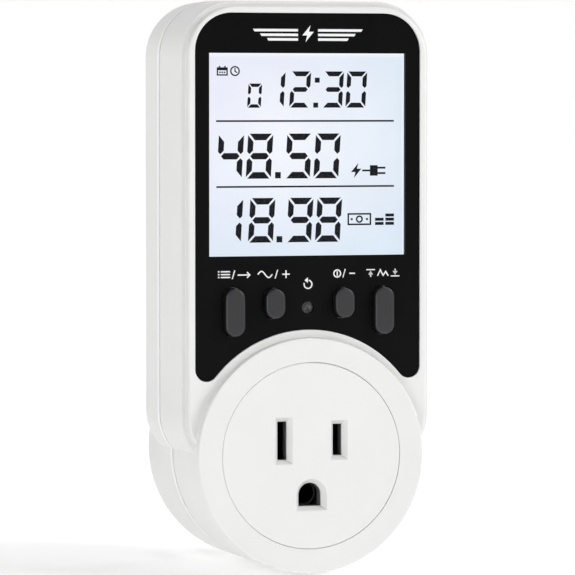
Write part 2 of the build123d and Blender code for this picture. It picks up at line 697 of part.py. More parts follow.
def make_contact_carrier():
    """Insulating block behind the outlet face, with a pocket for each contact."""
    y_front, y_back = CARRIER_Y
    carrier = slab(Circle(CARRIER_R), y_front, y_back)
    for side, height in ((-1, NEUTRAL_POCKET_H), (1, LINE_POCKET_H)):
        pocket = Pos(side * SLOT_X, SLOT_Z) * Rectangle(CLIP_POCKET_W, height)
        carrier -= slab(pocket, y_front, CLIP_POCKET_Y)
        tail_x = side * (SLOT_X + BLADE_T / 2 + CLIP_T / 2)
        tail = Pos(tail_x, SLOT_Z) * Rectangle(CLIP_T + TAIL_GAP, TAIL_H + TAIL_GAP)
        carrier -= slab(tail, CLIP_POCKET_Y, y_back)
    carrier -= disc(0, GROUND_Z, GROUND_POCKET_R, y_front, GROUND_POCKET_Y)
    strap_slot = Pos(0, GROUND_Z - 2.95) * Rectangle(4.4, 1.1)
    carrier -= slab(strap_slot, y_front, y_back)
    for x, z in CASE_LOW_SCREWS:
        carrier -= disc(x, z, REAR_BOSS_R + 0.2, y_front, y_back)
    for x, z in CARRIER_SCREWS:
        carrier -= disc(x, z, SCREW_WELL_R + 0.15, y_front, CARRIER_SEAT_Y)
        carrier -= disc(x, z, SCREW_CLEAR_R, CARRIER_SEAT_Y, y_back)
    return carrier


def blade_clip(side, height, tail_end_y):
    """Two sprung leaves that pinch a blade, and a tail that runs back to the plug."""
    right = [(2.4, -33.6), (1.32, -30.6), (2.0, -27.1), (2.0, -18.1)]
    inner = [(1.5, -18.6), (1.5, -26.9), (0.8, -30.6), (1.9, -33.6)]
    left = [(-x, y) for x, y in reversed(right)]
    inner_left = [(-x, y) for x, y in reversed(inner)]
    outline = make_face(Polyline(*(right + left + inner_left + inner), close=True))
    clip = Pos(side * SLOT_X, 0, SLOT_Z - height / 2) * extrude(outline, amount=height)
    inner_x = side * (SLOT_X + BLADE_T / 2)
    x_low, x_high = sorted((inner_x, inner_x + side * CLIP_T))
    base_y = right[-1][1]
    return clip + block(x_low, x_high, base_y, tail_end_y, SLOT_Z - TAIL_H / 2, SLOT_Z + TAIL_H / 2)


def rivet_hole(side, y, shank_r):
    """Cross hole along X at a riveted joint."""
    reach = 4.0
    return axial_body(side * (SLOT_X + BLADE_T / 2), y, SLOT_Z, shank_r + RIVET_GAP, reach)


def make_neutral_contact():
    clip = blade_clip(-1, NEUTRAL_CLIP_H, NEUTRAL_TAIL_Y)
    return clip - rivet_hole(-1, NEUTRAL_RIVET_Y, NEUTRAL_RIVET_R)


def make_line_contact():
    return blade_clip(1, LINE_CLIP_H, LINE_TAIL_Y) - rivet_hole(1, TAIL_RIVET_Y, LINE_RIVET_R)


def make_ground_contact():
    """Split tube round the ground pin's path, with a strap to the eyelet on the plug's own pin."""
    tube = disc(0, GROUND_Z, GROUND_TUBE_R + GROUND_TUBE_T, *GROUND_TUBE_Y)
    tube -= disc(0, GROUND_Z, GROUND_TUBE_R, *GROUND_TUBE_Y)
    split_half_w, split_low, split_high = 0.6, GROUND_Z + 2.0, GROUND_Z + 3.2
    tube -= block(-split_half_w, split_half_w, *GROUND_TUBE_Y, split_low, split_high)
    strap_half_w, eyelet_half_w = 2.0, 2.4
    strap = block(-strap_half_w, strap_half_w, STRAP_Y, EYELET_Y[1], *STRAP_Z)
    eyelet = block(-eyelet_half_w, eyelet_half_w, *EYELET_Y, STRAP_Z[0], GROUND_Z + 2.6)
    return tube + strap + (eyelet - disc(0, GROUND_Z, EYELET_SHANK_R + RIVET_GAP, *EYELET_Y))


# ================================================================ plug
def blade(side, height, inner_y):
    x = side * SLOT_X
    half_t = BLADE_T / 2
    x_low = x - half_t
    x_high = x + half_t
    stock = block(x_low, x_high, inner_y, BLADE_TIP_Y, SLOT_Z - height / 2, SLOT_Z + height / 2)
    stock = chamfer(back_edges(stock), BLADE_CHAMFER)
    stock -= axial_body(x, BLADE_HOLE_Y, SLOT_Z, BLADE_HOLE_R, 2 * BLADE_T)
    return stock + block(x_low, x_high, WING_Y, PLUG_WALL_IN_Y, SLOT_Z - WING_HALF_H, SLOT_Z + WING_HALF_H)


def make_neutral_blade():
    return blade(-1, NEUTRAL_BLADE_H, -12.0) - rivet_hole(-1, NEUTRAL_RIVET_Y, NEUTRAL_RIVET_R)


def make_line_blade():
    return blade(1, LINE_BLADE_H, -7.4) - rivet_hole(1, BLADE_RIVET_Y, LINE_RIVET_R)


def make_ground_pin():
    pin = disc(0, GROUND_Z, GROUND_PIN_R, 0.0, GROUND_TIP_Y)
    pin = fillet(back_edges(pin), PIN_TIP_FILLET)
    pin += disc(0, GROUND_Z, PIN_ROOT_R, PLUG_WALL_IN_Y, 0.0)
    pin += disc(0, GROUND_Z, PIN_FLANGE_R, EYELET_Y[1], PLUG_WALL_IN_Y)
    pin += disc(0, GROUND_Z, EYELET_SHANK_R, *EYELET_Y)
    return pin + disc(0, GROUND_Z, PEEN_R, PEEN_Y, EYELET_Y[0])


def make_current_shunt():
    """Resistance strip in the line path, arched between the contact's tail and the blade."""
    face = SLOT_X + BLADE_T / 2
    near_blade = face + SHUNT_T / 2
    near_tail = near_blade + CLIP_T
    arch = face + SHUNT_ARCH
    points = [(near_tail, -13.7), (near_tail, -10.6), (arch, -10.0), (arch, -8.4)]
    points += [(near_blade, -7.7), (near_blade, -4.4)]
    strip = Pos(0, 0, SLOT_Z - SHUNT_H / 2) * extrude(trace(Polyline(*points), SHUNT_T), amount=SHUNT_H)
    return strip - rivet_hole(1, TAIL_RIVET_Y, LINE_RIVET_R) - rivet_hole(1, BLADE_RIVET_Y, LINE_RIVET_R)


def rivet(x_low, x_high, y, shank_r):
    """Rivet along X with a head at each end of its grip."""
    solid = axial_body((x_low + x_high) / 2, y, SLOT_Z, shank_r, x_high - x_low)
    for x in (x_low - RIVET_HEAD_T / 2, x_high + RIVET_HEAD_T / 2):
        solid += axial_body(x, y, SLOT_Z, shank_r + RIVET_HEAD_GROW, RIVET_HEAD_T)
    return solid


def make_blade_rivets():
    inner = SLOT_X - BLADE_T / 2
    outer = SLOT_X + BLADE_T / 2
    return group(
        [
            rivet(-outer - CLIP_T, -inner, NEUTRAL_RIVET_Y, NEUTRAL_RIVET_R),
            rivet(outer, outer + CLIP_T + SHUNT_T, TAIL_RIVET_Y, LINE_RIVET_R),
            rivet(inner, outer + SHUNT_T, BLADE_RIVET_Y, LINE_RIVET_R),
        ]
    )


def make_lead(side):
    """Insulated wire from the plug side up to the power board."""
    radius = 0.8
    points = [
        (side * 8.9, -12.4, 6.4),
        (side * 8.9, -12.4, 22.0),
        (side * 14.0, -12.4, 36.0),
        (side * 14.0, POWER_BOARD_Y, 36.0),
    ]
    route = FilletPolyline(*points, radius=[5.0, 1.4])
    start = Plane(origin=points[0], z_dir=(0, 0, 1))
    return sweep(start * Circle(radius), path=route)


# ================================================================ screws
def screw(x, z, y_seat, y_end, shank_r, head_r, head_t):
    """Cross-recess pan head; y_end may lie to either side of the seat."""
    recess_half_w = 0.3
    recess_reach = head_r * 0.6
    away = 1 if y_seat > y_end else -1
    outer = y_seat + away * head_t
    head_low, head_high = sorted((y_seat, outer))
    shank_low, shank_high = sorted((y_seat, y_end))
    head = disc(x, z, head_r, head_low, head_high)
    rim = back_edges(head) if away > 0 else front_edges(head)
    head = fillet(rim, head_t * 0.45)
    recess_low, recess_high = sorted((outer - away * head_t * 0.55, outer + away * 0.1))
    for half_x, half_z in ((recess_half_w, recess_reach), (recess_reach, recess_half_w)):
        head -= block(x - half_x, x + half_x, recess_low, recess_high, z - half_z, z + half_z)
    return head + disc(x, z, shank_r, shank_low, shank_high)


def make_case_screws():
    return group(screw(x, z, CASE_SCREW_SEAT_Y, CASE_SCREW_END_Y, 1.2, 2.5, 1.8) for x, z in CASE_SCREWS)


def make_display_board_screws():
    seat = DISPLAY_BOARD_Y + BOARD_T
    return group(screw(x, z, seat, WALL_IN_Y + 0.4, 1.0, 2.0, 1.3) for x, z in DISPLAY_SCREWS)


def make_power_board_screws():
    return group(screw(x, z, POWER_BOARD_Y, BACK_WALL_IN_Y - 0.4, 1.0, 2.0, 1.3) for x, z in POWER_SCREWS)


def make_carrier_screws():
    return group(screw(x, z, CARRIER_SEAT_Y, PLUG_WALL_IN_Y - 1.0, 1.25, 2.6, 1.8) for x, z in CARRIER_SCREWS)


# ================================================================ the assembly
NODES = {
    "front_shell": make_front_shell(),
    "rear_shell": make_rear_shell(),
    "front_panel": make_front_panel(),
    "display_window": make_display_window(),
    "lcd_glass": make_lcd_glass(),
    "lcd_frame": make_lcd_frame(),
    "zebra_strip": make_zebra_strip(),
    "light_guide": make_light_guide(),
    "reflector_sheet": make_reflector(),
    "backlight_leds": make_backlight_leds(),
    "keypad_mat": make_keypad_mat(),
    "reset_key": make_reset_key(),
    "reset_switch": make_reset_switch(),
    "reset_actuator": make_reset_actuator(),
    "display_board": make_display_board(),
    "controller_chip": chip(2.0, 66.0, 5.0, 5.0, DISPLAY_BOARD_Y + BOARD_T, 1.7, 10),
    "crystal": make_crystal(),
    "header_socket": header_block(DISPLAY_BOARD_Y + BOARD_T, -20.9),
    "header_base": header_block(-11.5, POWER_BOARD_Y),
    "header_pins": make_header_pins(),
    "power_board": make_power_board(),
    "metering_chip": chip(-2.0, 60.5, 3.7, 5.0, POWER_BOARD_Y, -2.2, 8),
    "backup_battery": make_backup_battery(),
    "battery_clip": make_battery_clip(),
    "film_capacitor": make_film_capacitor(),
    "electrolytic_capacitor": make_electrolytic_capacitor(),
    "varistor": make_varistor(),
    "fuse": make_fuse(),
    "diodes": make_diodes(),
    "outlet_insert": make_outlet_insert(),
    "contact_carrier": make_contact_carrier(),
    "line_contact": make_line_contact(),
    "neutral_contact": make_neutral_contact(),
    "ground_contact": make_ground_contact(),
    "line_blade": make_line_blade(),
    "neutral_blade": make_neutral_blade(),
    "ground_pin": make_ground_pin(),
    "current_shunt": make_current_shunt(),
    "blade_rivets": make_blade_rivets(),
    "line_lead": make_lead(1),
    "neutral_lead": make_lead(-1),
    "case_screws": make_case_screws(),
    "display_board_screws": make_display_board_screws(),
    "power_board_screws": make_power_board_screws(),
    "carrier_screws": make_carrier_screws(),
}
for key_name in KEYS:
    NODES[key_name + "_key"] = make_key(key_name)
    NODES[key_name + "_pill"] = make_pill(key_name)

for node_name, node_shape in NODES.items():
    save(node_name, node_shape)
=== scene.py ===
import json
from math import cos, pi, radians, sin

import bmesh
import bpy
from mathutils import Matrix, Vector


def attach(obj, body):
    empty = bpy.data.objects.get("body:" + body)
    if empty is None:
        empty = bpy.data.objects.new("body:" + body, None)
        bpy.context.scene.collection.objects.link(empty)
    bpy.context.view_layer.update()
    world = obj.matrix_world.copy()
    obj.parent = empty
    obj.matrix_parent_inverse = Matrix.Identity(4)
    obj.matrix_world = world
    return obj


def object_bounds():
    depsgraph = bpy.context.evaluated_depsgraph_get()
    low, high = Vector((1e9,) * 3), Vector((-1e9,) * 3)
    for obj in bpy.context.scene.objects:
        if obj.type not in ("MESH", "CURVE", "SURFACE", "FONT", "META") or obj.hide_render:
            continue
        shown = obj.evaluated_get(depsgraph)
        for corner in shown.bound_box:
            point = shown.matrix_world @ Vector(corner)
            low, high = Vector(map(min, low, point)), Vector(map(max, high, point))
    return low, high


# Looks of a plug-in power meter, in metres: +X right, +Y into the wall, +Z up.

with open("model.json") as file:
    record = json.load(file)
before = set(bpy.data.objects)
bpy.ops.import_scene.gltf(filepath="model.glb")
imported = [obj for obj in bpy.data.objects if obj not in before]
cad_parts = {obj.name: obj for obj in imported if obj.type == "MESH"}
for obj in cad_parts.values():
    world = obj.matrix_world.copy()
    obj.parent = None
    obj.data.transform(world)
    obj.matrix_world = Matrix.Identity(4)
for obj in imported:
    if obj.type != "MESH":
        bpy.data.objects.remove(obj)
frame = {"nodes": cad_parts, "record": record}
cad_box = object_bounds()
nodes = frame["nodes"]
MM = 0.001

# strength of the world and of the floor's own glow near the meter and far from it
AMBIENT = 0.28
FLOOR_GLOW = 0.33
BACKDROP_GLOW = 0.58
GLOW_RAMP = (0.1, 0.8)                  # Y where the floor's glow starts and ends its rise

# the casing's parting line: its Y, then as offsets the groove that gets painted shadow and the band
# behind it that gets a painted highlight
SEAM_Y = -0.0204
SEAM_GROOVE = (-0.0005, 0.0002)
SEAM_HIGHLIGHT = (0.0006, 0.0015)
SEAM_BLUR = 0.0002

# front and back Y of the stretch where painted shade darkens the slots' throats and the keys'
# skirts
THROAT_Y = (-0.0386, -0.0380)
SKIRT_Y = (-0.0394, -0.0387)
OUTLET_REACH = 0.016                    # radius around the three holes, inside the insert's rim
ANY_REACH = 0.1                         # reaches past the whole meter

# front and back Y, in mm, of the thin marks on the display glass and on the panel
DISPLAY_FACE = (-36.325, -36.305)
PANEL_FACE = (-37.43, -37.395)

# lit area of the display
LIT_X = 0.0225
LIT_LOW_Z, LIT_HIGH_Z = 0.0437, 0.0879


# ================================================================ camera
def make_camera():
    """Long lens to the left of the meter and a little above it."""
    yaw = radians(18.03)
    pitch = radians(2.553)
    distance = 0.9178
    shift_left, shift_up = 0.00528, 0.03677
    forward = Vector((sin(yaw) * cos(pitch), cos(yaw) * cos(pitch), -sin(pitch)))
    right = Vector((cos(yaw), -sin(yaw), 0.0))
    up = right.cross(forward)
    outlet_face = Vector((0.0, -0.040, 0.0))
    place = outlet_face - distance * forward - shift_left * right + shift_up * up
    data = bpy.data.cameras.new("camera")
    data.sensor_width = 36.0
    data.sensor_fit = "HORIZONTAL"
    data.lens = 262.96
    data.clip_start = 0.05
    data.clip_end = 50.0
    camera = bpy.data.objects.new("camera", data)
    bpy.context.scene.collection.objects.link(camera)
    turn = Matrix((right, up, -forward)).transposed().to_4x4()
    camera.matrix_world = Matrix.Translation(place) @ turn
    bpy.context.scene.camera = camera


# ================================================================ materials
class Nodes:
    """Short way to write a node tree."""

    def __init__(self, name):
        self.material = bpy.data.materials.new(name)
        self.material.use_nodes = True
        self.tree = self.material.node_tree
        self.tree.nodes.clear()
        self.output = self.tree.nodes.new("ShaderNodeOutputMaterial")
        self.surface = self.tree.nodes.new("ShaderNodeBsdfPrincipled")
        self.tree.links.new(self.surface.outputs["BSDF"], self.output.inputs["Surface"])
        self.place = self.new("ShaderNodeTexCoord").outputs["Object"]

    def new(self, kind, **settings):
        node = self.tree.nodes.new(kind)
        for key, value in settings.items():
            setattr(node, key, value)
        return node

    def put(self, value, socket):
        if isinstance(value, bpy.types.NodeSocket):
            self.tree.links.new(value, socket)
        else:
            socket.default_value = value

    def noise(self, scale, detail=3.0, rough=0.5, place=None):
        node = self.new("ShaderNodeTexNoise")
        self.put(place or self.place, node.inputs["Vector"])
        node.inputs["Scale"].default_value = scale
        node.inputs["Detail"].default_value = detail
        node.inputs["Roughness"].default_value = rough
        return node.outputs["Fac"]

    def voronoi(self, scale):
        node = self.new("ShaderNodeTexVoronoi")
        self.put(self.place, node.inputs["Vector"])
        node.inputs["Scale"].default_value = scale
        return node.outputs["Distance"]

    def stretched(self, x, y, z):
        """Coordinates scaled along each axis, for brushed or drawn surfaces."""
        node = self.new("ShaderNodeMapping")
        self.put(self.place, node.inputs["Vector"])
        node.inputs["Scale"].default_value = (x, y, z)
        return node.outputs["Vector"]

    def span(self, value, low, high, to_low=0.0, to_high=1.0):
        """Maps low..high to to_low..to_high and holds the ends."""
        node = self.new("ShaderNodeMapRange")
        self.put(value, node.inputs["Value"])
        limits = {"From Min": low, "From Max": high, "To Min": to_low, "To Max": to_high}
        for key, number in limits.items():
            node.inputs[key].default_value = number
        return node.outputs["Result"]

    def band(self, value, low, high, blur):
        """1 between low and high, fading to 0 over blur on each side."""
        rise = self.span(value, low - blur, low)
        fall = self.span(value, high, high + blur, 1.0, 0.0)
        return self.maths("MULTIPLY", rise, fall)

    def maths(self, operation, first, second=0.0):
        node = self.new("ShaderNodeMath", operation=operation)
        self.put(first, node.inputs[0])
        self.put(second, node.inputs[1])
        return node.outputs["Value"]

    def colour_mix(self, share, first, second):
        node = self.new("ShaderNodeMix", data_type="RGBA")
        self.put(share, node.inputs[0])
        self.put(first, node.inputs[6])
        self.put(second, node.inputs[7])
        return node.outputs[2]

    def bump(self, height, strength, distance, normal=None):
        node = self.new("ShaderNodeBump")
        self.put(height, node.inputs["Height"])
        node.inputs["Strength"].default_value = strength
        node.inputs["Distance"].default_value = distance
        if normal is not None:
            self.put(normal, node.inputs["Normal"])
        return node.outputs["Normal"]

    def soft_edges(self, radius):
        """Normal that rounds sharp moulded edges by a small radius."""
        node = self.new("ShaderNodeBevel", samples=6)
        node.inputs["Radius"].default_value = radius
        return node.outputs["Normal"]

    def rim(self, soft):
        """1 along a rounded edge, 0 on the open surface."""
        flat = self.new("ShaderNodeNewGeometry")
        node = self.new("ShaderNodeVectorMath", operation="DOT_PRODUCT")
        self.put(flat.outputs["Normal"], node.inputs[0])
        self.put(soft, node.inputs[1])
        return self.span(node.outputs["Value"], 0.995, 0.90)

    def split(self):
        node = self.new("ShaderNodeSeparateXYZ")
        self.put(self.place, node.inputs["Vector"])
        return node.outputs["X"], node.outputs["Y"], node.outputs["Z"]

    def set(self, **values):
        for key, value in values.items():
            self.put(value, self.surface.inputs[key.replace("_", " ")])


def rgb(red, green, blue):
    """Linear colour from 0 to 255 display values."""
    def linear(v):
        v = v / 255.0
        return v / 12.92 if v <= 0.04045 else ((v + 0.055) / 1.055) ** 2.4
    return (linear(red), linear(green), linear(blue), 1.0)


def grey(level):
    return rgb(level, level, level)


def shade(colour, factor):
    return (colour[0] * factor, colour[1] * factor, colour[2] * factor, 1.0)


def paint_depth_shade(m, base, shade_by_depth):
    """Paints shade: darkens a tone from a front Y to a back Y, inside a radius about the Y axis."""
    (y_front, y_back), shade_colour, reach = shade_by_depth
    x, y, z = m.split()
    square = m.maths("ADD", m.maths("MULTIPLY", x, x), m.maths("MULTIPLY", z, z))
    inside = m.maths("LESS_THAN", square, reach * reach)
    return m.colour_mix(m.maths("MULTIPLY", m.span(y, y_front, y_back), inside), base, shade_colour)


def add_seam_shading(m, base, polished):
    """Painted shadow in the parting groove and a painted highlight on the band behind it."""
    _, y, _ = m.split()
    # painted highlight on a band just behind the groove
    highlight_band = m.band(y, SEAM_Y + SEAM_HIGHLIGHT[0], SEAM_Y + SEAM_HIGHLIGHT[1], SEAM_BLUR)
    base = m.colour_mix(m.maths("MULTIPLY", highlight_band, 0.9), base, polished)
    # painted shadow in the groove
    groove = m.band(y, SEAM_Y + SEAM_GROOVE[0], SEAM_Y + SEAM_GROOVE[1], SEAM_BLUR)
    return m.colour_mix(m.maths("MULTIPLY", groove, 0.6), base, grey(190))


def moulded(name, colour, rough=0.42, grain=0.5, edge=0.00012, specular=0.5, tone=0.03,
            shade_by_depth=None, polished=None):
    """Moulded plastic: fine spark-eroded grain, slow tone changes, rub marks and softened edges.

    The second-to-last argument is ((front Y, back Y), colour, radius): painted shade for a piece
    whose tone darkens with depth.
    The last argument is the colour of a painted highlight along the casing's edges and beside its
    seam.
    """
    grain_scale = 2600.0
    m = Nodes(name)
    slow = m.noise(38.0, 4.0, 0.55)
    cloud = m.noise(210.0, 3.0, 0.5)
    tone_mix = m.maths("MULTIPLY", m.span(slow, 0.3, 0.7), 0.75)
    tone_mix = m.maths("ADD", tone_mix, m.maths("MULTIPLY", cloud, 0.25))
    base = m.colour_mix(tone_mix, shade(colour, 1.0 - tone), shade(colour, 1.0 + tone * 0.4))
    # painted shade: the tone darkens with depth
    if shade_by_depth:
        base = paint_depth_shade(m, base, shade_by_depth)
    soft = m.soft_edges(edge)
    # painted highlight along the rounded edges, then the seam's painted highlight and painted
    # shadow
    if polished:
        base = m.colour_mix(m.maths("MULTIPLY", m.rim(soft), 0.8), base, polished)
        base = add_seam_shading(m, base, polished)
    grain_height = m.noise(grain_scale, 3.0, 0.6)
    pits = m.voronoi(grain_scale * 0.55)
    height = m.maths("ADD", grain_height, m.maths("MULTIPLY", pits, 0.4))
    rub = m.noise(90.0, 5.0, 0.65, m.stretched(1.0, 1.0, 0.22))
    roughness = m.span(rub, 0.3, 0.72, rough - 0.06, rough + 0.07)
    fine = m.span(grain_height, 0.3, 0.7, -0.03, 0.03)
    m.set(Base_Color=base, Roughness=m.maths("ADD", roughness, fine))
    m.set(Normal=m.bump(height, grain * 0.35, 0.00002, soft))
    m.surface.inputs["Specular IOR Level"].default_value = specular
    return m


def metal(name, colour, rough=0.25, drawn=(1.0, 1.0, 1.0), edge=0.00008, tarnish=0.1):
    """Plated or stamped metal with draw marks, faint tarnish and handling scuffs."""
    m = Nodes(name)
    marks = m.noise(900.0, 4.0, 0.6, m.stretched(*drawn))
    stain = m.noise(140.0, 5.0, 0.6)
    scuff = m.noise(420.0, 6.0, 0.7)
    dull = m.span(stain, 0.45, 0.75, 0.0, tarnish * 3.0)
    base = m.colour_mix(dull, colour, shade(colour, 0.72))
    roughness = m.span(marks, 0.3, 0.7, rough - 0.05, rough + 0.08)
    roughness = m.maths("ADD", roughness, m.span(scuff, 0.55, 0.75, 0.0, 0.14))
    m.set(Base_Color=base, Metallic=1.0, Roughness=roughness)
    m.set(Normal=m.bump(marks, 0.25, 0.00002, m.soft_edges(edge)))
    return m


def make_window_material():
    """Clear plate with a little dust and haze."""
    m = Nodes("window_clear")
    dust = m.voronoi(900.0)
    speck = m.span(dust, 0.02, 0.06, 0.5, 0.06)
    haze = m.span(m.noise(60.0, 3.0), 0.3, 0.7, 0.03, 0.08)
    m.set(Base_Color=(0.02, 0.02, 0.024, 1.0), Alpha=0.05)
    m.set(Roughness=m.maths("ADD", m.maths("MULTIPLY", speck, 0.1), haze))
    m.surface.inputs["Specular IOR Level"].default_value = 0.5
    return m


def make_display_material():
    """Backlit cell: brightest in the middle, lavender to the left, pale blue to the right."""
    middle_x, middle_z = -0.004, 0.067
    spread_x, spread_z = 0.030, 0.024
    m = Nodes("lcd_glass")
    x, _, z = m.split()
    across = m.span(x, -LIT_X, LIT_X)
    along = m.span(z, LIT_LOW_Z, LIT_HIGH_Z)
    left = m.colour_mix(along, rgb(222, 233, 246), rgb(231, 232, 247))
    right = m.colour_mix(along, rgb(219, 231, 244), rgb(222, 234, 245))
    tint = m.colour_mix(across, left, right)
    dx = m.maths("MULTIPLY", m.maths("ADD", x, -middle_x), 1.0 / spread_x)
    dz = m.maths("MULTIPLY", m.maths("ADD", z, -middle_z), 1.0 / spread_z)
    square = m.maths("ADD", m.maths("MULTIPLY", dx, dx), m.maths("MULTIPLY", dz, dz))
    middle = m.span(m.maths("SQRT", square), 0.0, 1.05, 0.7, 0.0)
    tint = m.colour_mix(middle, tint, rgb(250, 250, 254))
    # a brighter line where the backlight leaks past each edge
    glow_left = m.span(x, -LIT_X - 0.00005, -LIT_X + 0.0004, 1.0, 0.0)
    glow_right = m.span(x, LIT_X - 0.0004, LIT_X + 0.00005)
    glow_top = m.span(z, LIT_HIGH_Z - 0.001, LIT_HIGH_Z)
    glow_low = m.span(z, LIT_LOW_Z - 0.0001, LIT_LOW_Z + 0.0002, 0.6, 0.0)
    glow_sides = m.maths("MAXIMUM", glow_left, glow_right)
    glow = m.maths("MAXIMUM", glow_sides, m.maths("MAXIMUM", glow_top, glow_low))
    cloud = m.span(m.noise(120.0, 3.0), 0.35, 0.65, 0.985, 1.015)
    lit = m.colour_mix(m.maths("MULTIPLY", glow, 0.8), tint, (1.0, 1.0, 1.0, 1.0))
    gloss = m.span(m.noise(300.0), 0.3, 0.7, 0.28, 0.34)
    m.set(Base_Color=(0.03, 0.032, 0.036, 1.0), Roughness=gloss)
    m.set(Emission_Color=lit, Emission_Strength=m.maths("MULTIPLY", cloud, 1.09))
    m.surface.inputs["Specular IOR Level"].default_value = 0.1
    return m


def make_materials():
    """One finish for each material slot of the record, and two for the printed marks."""
    made = {
        # the shell gets painted highlights along its edges and beside its seam
        "shell_white": moulded("shell_white", rgb(231, 231, 230), 0.40, 0.5, 0.0003,
                               polished=grey(253)),
        # painted shade deep in the slots' throats
        "insert_white": moulded("insert_white", rgb(232, 232, 231), 0.36, 0.25, 0.0001,
                                shade_by_depth=(THROAT_Y, rgb(104, 104, 105), OUTLET_REACH)),
        "panel_black": moulded("panel_black", rgb(11, 11, 12), 0.33, 0.18, 0.0001, 0.08, 0.15),
        "window_clear": make_window_material(),
        "lcd_glass": make_display_material(),
        # painted shade on the keys' skirts behind their faces
        "key_rubber": moulded("key_rubber", rgb(43, 43, 45), 0.34, 0.18, 0.0003, 0.5, 0.06,
                              shade_by_depth=(SKIRT_Y, rgb(16, 16, 17), ANY_REACH)),
        "key_black": moulded("key_black", rgb(70, 70, 72), 0.25, 0.3, 0.0001, 0.6, 0.1),
        "carbon_pill": moulded("carbon_pill", rgb(30, 30, 31), 0.7, 0.6),
        "mat_grey": moulded("mat_grey", rgb(120, 120, 124), 0.65, 0.4),
        "frame_white": moulded("frame_white", rgb(226, 226, 222), 0.5, 0.4),
        "strip_pink": moulded("strip_pink", rgb(214, 160, 158), 0.6, 0.3),
        "guide_clear": moulded("guide_clear", rgb(225, 232, 240), 0.12, 0.05),
        "reflector_white": moulded("reflector_white", rgb(245, 245, 243), 0.75, 0.2),
        "led_white": moulded("led_white", rgb(240, 226, 160), 0.35, 0.2),
        "chip_black": moulded("chip_black", rgb(32, 32, 34), 0.55, 0.7),
        "carrier_dark": moulded("carrier_dark", rgb(70, 70, 72), 0.55, 0.5),
        "cap_red": moulded("cap_red", rgb(168, 42, 34), 0.25, 0.25),
        "cap_blue": moulded("cap_blue", rgb(34, 78, 150), 0.3, 0.35),
        "cap_sleeve": moulded("cap_sleeve", rgb(38, 44, 74), 0.3, 0.2),
        "battery_green": moulded("battery_green", rgb(60, 150, 84), 0.28, 0.2),
        "fuse_glass": moulded("fuse_glass", rgb(205, 212, 212), 0.1, 0.1),
        "diode_black": moulded("diode_black", rgb(28, 28, 29), 0.35, 0.3),
        "wire_red": moulded("wire_red", rgb(180, 30, 28), 0.38, 0.2),
        "wire_white": moulded("wire_white", rgb(225, 225, 222), 0.4, 0.2),
        "header_black": moulded("header_black", rgb(26, 26, 27), 0.5, 0.3),
        "actuator_red": moulded("actuator_red", rgb(150, 46, 34), 0.4, 0.3),
        "board_green": make_board_material("board_green", rgb(24, 92, 52), rgb(36, 122, 70)),
        "board_tan": make_board_material("board_tan", rgb(160, 122, 70), rgb(182, 146, 92)),
        "steel": metal("steel", rgb(196, 196, 194), 0.3),
        "nickel": metal("nickel", rgb(214, 211, 204), 0.2, (1.0, 0.15, 1.0)),
        "tinned_contact": metal("tinned_contact", rgb(96, 96, 95), 0.42, (1.0, 0.2, 1.0)),
        "brass_bright": metal("brass_bright", rgb(226, 192, 110), 0.2),
        "shunt_alloy": metal("shunt_alloy", rgb(176, 162, 144), 0.4, (0.2, 1.0, 1.0), tarnish=0.2),
        "ink_white": moulded("ink_white", grey(238), 0.5, 0.2, 0.00003),
        "display_dark": moulded("display_dark", rgb(29, 30, 34), 0.45, 0.1, 0.00003, 0.05),
    }
    return {slot: kind.material for slot, kind in made.items()}


def make_board_material(name, resist, track):
    """Laminate under solder resist, with runs of track that show as a lighter tone."""
    m = Nodes(name)
    run = m.new("ShaderNodeTexBrick", offset=0.5, offset_frequency=2)
    m.put(m.place, run.inputs["Vector"])
    run.inputs["Scale"].default_value = 260.0
    run.inputs["Mortar Size"].default_value = 0.06
    run.inputs["Color1"].default_value = resist
    run.inputs["Color2"].default_value = shade(resist, 0.92)
    run.inputs["Mortar"].default_value = track
    weave = m.noise(1500.0, 2.0)
    m.set(Base_Color=run.outputs["Color"], Roughness=m.span(weave, 0.3, 0.7, 0.32, 0.42))
    m.set(Normal=m.bump(run.outputs["Fac"], 0.3, 0.00003))
    return m


def dress_cad(materials):
    """Gives every CAD node the finish that its record slot names."""
    slots = {part["node"]: part["material_slot"] for part in frame["record"]["subparts"]}
    for name, piece in nodes.items():
        finish = materials[slots[name]]
        if not piece.material_slots:
            piece.data.materials.append(finish)
        for holder in piece.material_slots:
            holder.material = finish


# ================================================================ flat printed marks
def slab_mesh(name, face, loops, rings=()):
    """Closed plates between the two depths of a face, in mm.

    loops are filled outlines, and rings are (outer, inner) pairs.
    """
    y_front, y_back = face
    bm = bmesh.new()

    def row(points, y):
        return [bm.verts.new((x * MM, y * MM, z * MM)) for x, z in points]

    for points in loops:
        area = sum(a[0] * b[1] - b[0] * a[1] for a, b in zip(points, points[1:] + points[:1]))
        ordered = points if area > 0 else points[::-1]
        front = row(ordered, y_front)
        back = row(ordered, y_back)
        bm.faces.new(front)
        bm.faces.new(back[::-1])
        for i in range(len(front)):
            j = (i + 1) % len(front)
            bm.faces.new((front[j], front[i], back[i], back[j]))
    for outer, inner in rings:
        rows = [row(outer, y_front), row(inner, y_front), row(inner, y_back), row(outer, y_back)]
        for first, second in zip(rows, rows[1:] + rows[:1]):
            for i in range(len(first)):
                j = (i + 1) % len(first)
                bm.faces.new((first[i], first[j], second[j], second[i]))
    bmesh.ops.recalc_face_normals(bm, faces=bm.faces)
    mesh = bpy.data.meshes.new(name)
    bm.to_mesh(mesh)
    bm.free()
    piece = bpy.data.objects.new(name, mesh)
    bpy.context.scene.collection.objects.link(piece)
    return piece


def circle(x, z, r, count=40, start=0.0, end=360.0):
    steps = count if end - start >= 360.0 else count + 1
    angles = [radians(start + (end - start) * i / count) for i in range(steps)]
    return [(x + r * cos(a), z + r * sin(a)) for a in angles]


